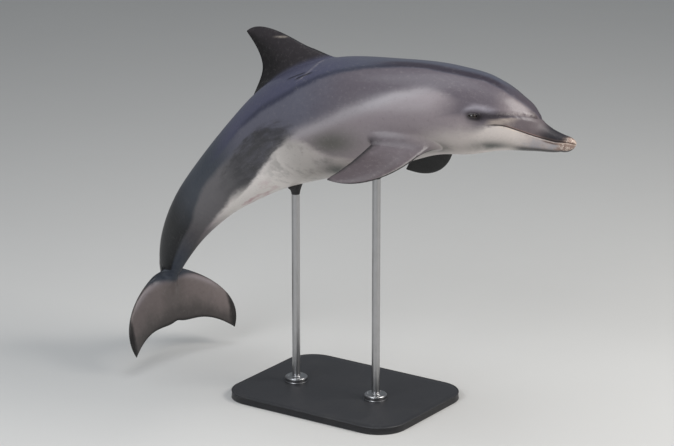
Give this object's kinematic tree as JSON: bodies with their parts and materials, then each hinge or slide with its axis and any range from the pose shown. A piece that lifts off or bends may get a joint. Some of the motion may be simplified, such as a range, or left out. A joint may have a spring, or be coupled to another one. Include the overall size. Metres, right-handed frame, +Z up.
{
  "type": "bottlenose dolphin model on a display stand",
  "caption": "Life-size still model of a leaping bottlenose dolphin, arched nose down and tail under, held over the floor by a flat base with upright rods.",
  "frame": {"origin": "centre of the flat underside of the stand's base, on the floor, under the animal's centre of mass", "axes": "+X the way the animal's trunk heads (beak end), +Y the animal's left, +Z up from the floor"},
  "size_m": [1.8527, 0.8471, 1.4346],
  "materials": {
    "skin": "smooth wet mauve-grey skin, darker cape, pale belly, faint scratches",
    "skin_pale": "smooth wet cream skin of the lower jaw",
    "skin_dark": "smooth wet charcoal-brown skin of the fins and tail stock",
    "eye": "polished dark brown eye",
    "stand_black": "fine-textured black powder coat",
    "stand_steel": "brushed stainless steel"
  },
  "bodies": {
    "root": {"head": "skin", "lower_jaw": "skin_pale", "neck": "skin", "trunk": "skin", "tail_stock": "skin_dark", "dorsal_fin": "skin_dark", "flipper_left": "skin_dark", "flipper_right": "skin_dark", "fluke_left": "skin_dark", "fluke_right": "skin_dark", "eye_left": "eye", "eye_right": "eye", "stand_base": "stand_black", "stand_rod_front": "stand_steel", "stand_rod_rear": "stand_steel", "stand_collar_front": "stand_steel", "stand_collar_rear": "stand_steel"}
  },
  "joints": []
}
